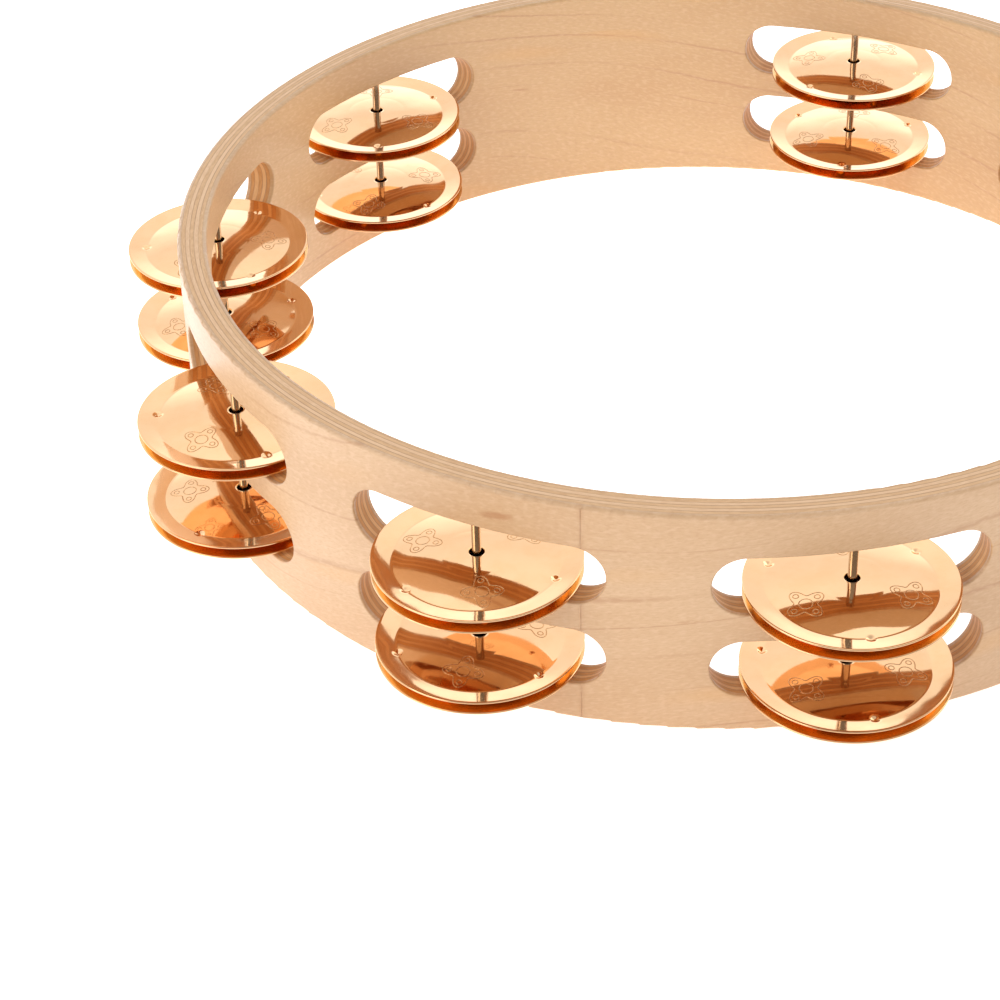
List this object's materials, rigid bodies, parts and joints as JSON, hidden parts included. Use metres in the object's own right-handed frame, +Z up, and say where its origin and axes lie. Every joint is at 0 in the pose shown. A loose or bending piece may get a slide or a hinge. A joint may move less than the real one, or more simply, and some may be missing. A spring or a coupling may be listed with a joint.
{
  "type": "tambourine",
  "caption": "Headless wooden ring tambourine with two rows of slots holding pairs of domed bronze jingles on steel pins.",
  "frame": {"origin": "centre of the ring at the plane of its bottom edge", "axes": "+Z up along the ring's axis, +Y towards the middle of the hand grip, the stretch of wall with no slots"},
  "size_m": [0.2818, 0.273, 0.056],
  "materials": {
    "face_veneer": "satin lacquer",
    "core_veneer": "satin lacquer on sanded edges",
    "bronze_jingle": "polished phosphor bronze",
    "steel_pin": "bright"
  },
  "bodies": {
    "frame": {"ply_inner_face": "face_veneer", "ply_core_1": "core_veneer", "ply_core_2": "core_veneer", "ply_core_3": "core_veneer", "ply_core_4": "core_veneer", "ply_core_5": "core_veneer", "ply_outer_face": "face_veneer", "pin_1": "steel_pin", "pin_2": "steel_pin", "pin_3": "steel_pin", "pin_4": "steel_pin", "pin_5": "steel_pin", "pin_6": "steel_pin", "pin_7": "steel_pin", "pin_8": "steel_pin", "pin_9": "steel_pin"},
    "jingle_1_high_lower": {"jingle_1_high_lower": "bronze_jingle"},
    "jingle_1_high_upper": {"jingle_1_high_upper": "bronze_jingle"},
    "jingle_1_low_lower": {"jingle_1_low_lower": "bronze_jingle"},
    "jingle_1_low_upper": {"jingle_1_low_upper": "bronze_jingle"},
    "jingle_2_high_lower": {"jingle_2_high_lower": "bronze_jingle"},
    "jingle_2_high_upper": {"jingle_2_high_upper": "bronze_jingle"},
    "jingle_2_low_lower": {"jingle_2_low_lower": "bronze_jingle"},
    "jingle_2_low_upper": {"jingle_2_low_upper": "bronze_jingle"},
    "jingle_3_high_lower": {"jingle_3_high_lower": "bronze_jingle"},
    "jingle_3_high_upper": {"jingle_3_high_upper": "bronze_jingle"},
    "jingle_3_low_lower": {"jingle_3_low_lower": "bronze_jingle"},
    "jingle_3_low_upper": {"jingle_3_low_upper": "bronze_jingle"},
    "jingle_4_high_lower": {"jingle_4_high_lower": "bronze_jingle"},
    "jingle_4_high_upper": {"jingle_4_high_upper": "bronze_jingle"},
    "jingle_4_low_lower": {"jingle_4_low_lower": "bronze_jingle"},
    "jingle_4_low_upper": {"jingle_4_low_upper": "bronze_jingle"},
    "jingle_5_high_lower": {"jingle_5_high_lower": "bronze_jingle"},
    "jingle_5_high_upper": {"jingle_5_high_upper": "bronze_jingle"},
    "jingle_5_low_lower": {"jingle_5_low_lower": "bronze_jingle"},
    "jingle_5_low_upper": {"jingle_5_low_upper": "bronze_jingle"},
    "jingle_6_high_lower": {"jingle_6_high_lower": "bronze_jingle"},
    "jingle_6_high_upper": {"jingle_6_high_upper": "bronze_jingle"},
    "jingle_6_low_lower": {"jingle_6_low_lower": "bronze_jingle"},
    "jingle_6_low_upper": {"jingle_6_low_upper": "bronze_jingle"},
    "jingle_7_high_lower": {"jingle_7_high_lower": "bronze_jingle"},
    "jingle_7_high_upper": {"jingle_7_high_upper": "bronze_jingle"},
    "jingle_7_low_lower": {"jingle_7_low_lower": "bronze_jingle"},
    "jingle_7_low_upper": {"jingle_7_low_upper": "bronze_jingle"},
    "jingle_8_high_lower": {"jingle_8_high_lower": "bronze_jingle"},
    "jingle_8_high_upper": {"jingle_8_high_upper": "bronze_jingle"},
    "jingle_8_low_lower": {"jingle_8_low_lower": "bronze_jingle"},
    "jingle_8_low_upper": {"jingle_8_low_upper": "bronze_jingle"},
    "jingle_9_high_lower": {"jingle_9_high_lower": "bronze_jingle"},
    "jingle_9_high_upper": {"jingle_9_high_upper": "bronze_jingle"},
    "jingle_9_low_lower": {"jingle_9_low_lower": "bronze_jingle"},
    "jingle_9_low_upper": {"jingle_9_low_upper": "bronze_jingle"}
  },
  "joints": [
    {"name": "jingle_1_high_lower_slide", "type": "slide", "parent": "frame", "child": "jingle_1_high_lower", "axis": [0, 0, 1], "range_m": [0, 0.0045]},
    {"name": "jingle_1_high_upper_slide", "type": "slide", "parent": "jingle_1_high_lower", "child": "jingle_1_high_upper", "axis": [0, 0, 1], "range_m": [0, 0.0044]},
    {"name": "jingle_1_low_lower_slide", "type": "slide", "parent": "frame", "child": "jingle_1_low_lower", "axis": [0, 0, 1], "range_m": [0, 0.0045]},
    {"name": "jingle_1_low_upper_slide", "type": "slide", "parent": "jingle_1_low_lower", "child": "jingle_1_low_upper", "axis": [0, 0, 1], "range_m": [0, 0.0044]},
    {"name": "jingle_2_high_lower_slide", "type": "slide", "parent": "frame", "child": "jingle_2_high_lower", "axis": [0, 0, 1], "range_m": [0, 0.0045]},
    {"name": "jingle_2_high_upper_slide", "type": "slide", "parent": "jingle_2_high_lower", "child": "jingle_2_high_upper", "axis": [0, 0, 1], "range_m": [0, 0.0044]},
    {"name": "jingle_2_low_lower_slide", "type": "slide", "parent": "frame", "child": "jingle_2_low_lower", "axis": [0, 0, 1], "range_m": [0, 0.0045]},
    {"name": "jingle_2_low_upper_slide", "type": "slide", "parent": "jingle_2_low_lower", "child": "jingle_2_low_upper", "axis": [0, 0, 1], "range_m": [0, 0.0044]},
    {"name": "jingle_3_high_lower_slide", "type": "slide", "parent": "frame", "child": "jingle_3_high_lower", "axis": [0, 0, 1], "range_m": [0, 0.0045]},
    {"name": "jingle_3_high_upper_slide", "type": "slide", "parent": "jingle_3_high_lower", "child": "jingle_3_high_upper", "axis": [0, 0, 1], "range_m": [0, 0.0044]},
    {"name": "jingle_3_low_lower_slide", "type": "slide", "parent": "frame", "child": "jingle_3_low_lower", "axis": [0, 0, 1], "range_m": [0, 0.0045]},
    {"name": "jingle_3_low_upper_slide", "type": "slide", "parent": "jingle_3_low_lower", "child": "jingle_3_low_upper", "axis": [0, 0, 1], "range_m": [0, 0.0044]},
    {"name": "jingle_4_high_lower_slide", "type": "slide", "parent": "frame", "child": "jingle_4_high_lower", "axis": [0, 0, 1], "range_m": [0, 0.0045]},
    {"name": "jingle_4_high_upper_slide", "type": "slide", "parent": "jingle_4_high_lower", "child": "jingle_4_high_upper", "axis": [0, 0, 1], "range_m": [0, 0.0044]},
    {"name": "jingle_4_low_lower_slide", "type": "slide", "parent": "frame", "child": "jingle_4_low_lower", "axis": [0, 0, 1], "range_m": [0, 0.0045]},
    {"name": "jingle_4_low_upper_slide", "type": "slide", "parent": "jingle_4_low_lower", "child": "jingle_4_low_upper", "axis": [0, 0, 1], "range_m": [0, 0.0044]},
    {"name": "jingle_5_high_lower_slide", "type": "slide", "parent": "frame", "child": "jingle_5_high_lower", "axis": [0, 0, 1], "range_m": [0, 0.0045]},
    {"name": "jingle_5_high_upper_slide", "type": "slide", "parent": "jingle_5_high_lower", "child": "jingle_5_high_upper", "axis": [0, 0, 1], "range_m": [0, 0.0044]},
    {"name": "jingle_5_low_lower_slide", "type": "slide", "parent": "frame", "child": "jingle_5_low_lower", "axis": [0, 0, 1], "range_m": [0, 0.0045]},
    {"name": "jingle_5_low_upper_slide", "type": "slide", "parent": "jingle_5_low_lower", "child": "jingle_5_low_upper", "axis": [0, 0, 1], "range_m": [0, 0.0044]},
    {"name": "jingle_6_high_lower_slide", "type": "slide", "parent": "frame", "child": "jingle_6_high_lower", "axis": [0, 0, 1], "range_m": [0, 0.0045]},
    {"name": "jingle_6_high_upper_slide", "type": "slide", "parent": "jingle_6_high_lower", "child": "jingle_6_high_upper", "axis": [0, 0, 1], "range_m": [0, 0.0044]},
    {"name": "jingle_6_low_lower_slide", "type": "slide", "parent": "frame", "child": "jingle_6_low_lower", "axis": [0, 0, 1], "range_m": [0, 0.0045]},
    {"name": "jingle_6_low_upper_slide", "type": "slide", "parent": "jingle_6_low_lower", "child": "jingle_6_low_upper", "axis": [0, 0, 1], "range_m": [0, 0.0044]},
    {"name": "jingle_7_high_lower_slide", "type": "slide", "parent": "frame", "child": "jingle_7_high_lower", "axis": [0, 0, 1], "range_m": [0, 0.0045]},
    {"name": "jingle_7_high_upper_slide", "type": "slide", "parent": "jingle_7_high_lower", "child": "jingle_7_high_upper", "axis": [0, 0, 1], "range_m": [0, 0.0044]},
    {"name": "jingle_7_low_lower_slide", "type": "slide", "parent": "frame", "child": "jingle_7_low_lower", "axis": [0, 0, 1], "range_m": [0, 0.0045]},
    {"name": "jingle_7_low_upper_slide", "type": "slide", "parent": "jingle_7_low_lower", "child": "jingle_7_low_upper", "axis": [0, 0, 1], "range_m": [0, 0.0044]},
    {"name": "jingle_8_high_lower_slide", "type": "slide", "parent": "frame", "child": "jingle_8_high_lower", "axis": [0, 0, 1], "range_m": [0, 0.0045]},
    {"name": "jingle_8_high_upper_slide", "type": "slide", "parent": "jingle_8_high_lower", "child": "jingle_8_high_upper", "axis": [0, 0, 1], "range_m": [0, 0.0044]},
    {"name": "jingle_8_low_lower_slide", "type": "slide", "parent": "frame", "child": "jingle_8_low_lower", "axis": [0, 0, 1], "range_m": [0, 0.0045]},
    {"name": "jingle_8_low_upper_slide", "type": "slide", "parent": "jingle_8_low_lower", "child": "jingle_8_low_upper", "axis": [0, 0, 1], "range_m": [0, 0.0044]},
    {"name": "jingle_9_high_lower_slide", "type": "slide", "parent": "frame", "child": "jingle_9_high_lower", "axis": [0, 0, 1], "range_m": [0, 0.0045]},
    {"name": "jingle_9_high_upper_slide", "type": "slide", "parent": "jingle_9_high_lower", "child": "jingle_9_high_upper", "axis": [0, 0, 1], "range_m": [0, 0.0044]},
    {"name": "jingle_9_low_lower_slide", "type": "slide", "parent": "frame", "child": "jingle_9_low_lower", "axis": [0, 0, 1], "range_m": [0, 0.0045]},
    {"name": "jingle_9_low_upper_slide", "type": "slide", "parent": "jingle_9_low_lower", "child": "jingle_9_low_upper", "axis": [0, 0, 1], "range_m": [0, 0.0044]}
  ]
}
